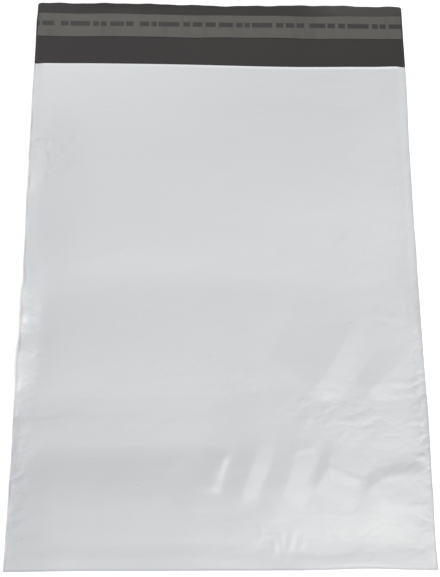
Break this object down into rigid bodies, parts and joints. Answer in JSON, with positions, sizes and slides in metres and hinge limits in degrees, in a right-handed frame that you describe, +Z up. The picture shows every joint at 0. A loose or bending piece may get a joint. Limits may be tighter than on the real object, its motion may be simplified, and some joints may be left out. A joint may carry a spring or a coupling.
{
  "type": "poly mailer bag",
  "caption": "Flat film mailing bag, white outside and dark grey inside, folded at the bottom, sealed at the sides, with an open lip, a glue strip and its liner.",
  "frame": {"origin": "on the surface that the bag lies on, under the middle of its outline", "axes": "+Y along the bag from the bottom fold to the free edge of the lip, +X across it, +Z up out of the front panel"},
  "size_m": [0.254, 0.376, 0.0051],
  "materials": {
    "white_film": "satin white polyethylene film, dark grey on its inner face",
    "glue": "soft hot-melt glue",
    "grey_liner": "satin grey release film"
  },
  "bodies": {
    "root": {"film_bag": "white_film", "adhesive_strip": "glue", "release_liner": "grey_liner"}
  },
  "joints": []
}
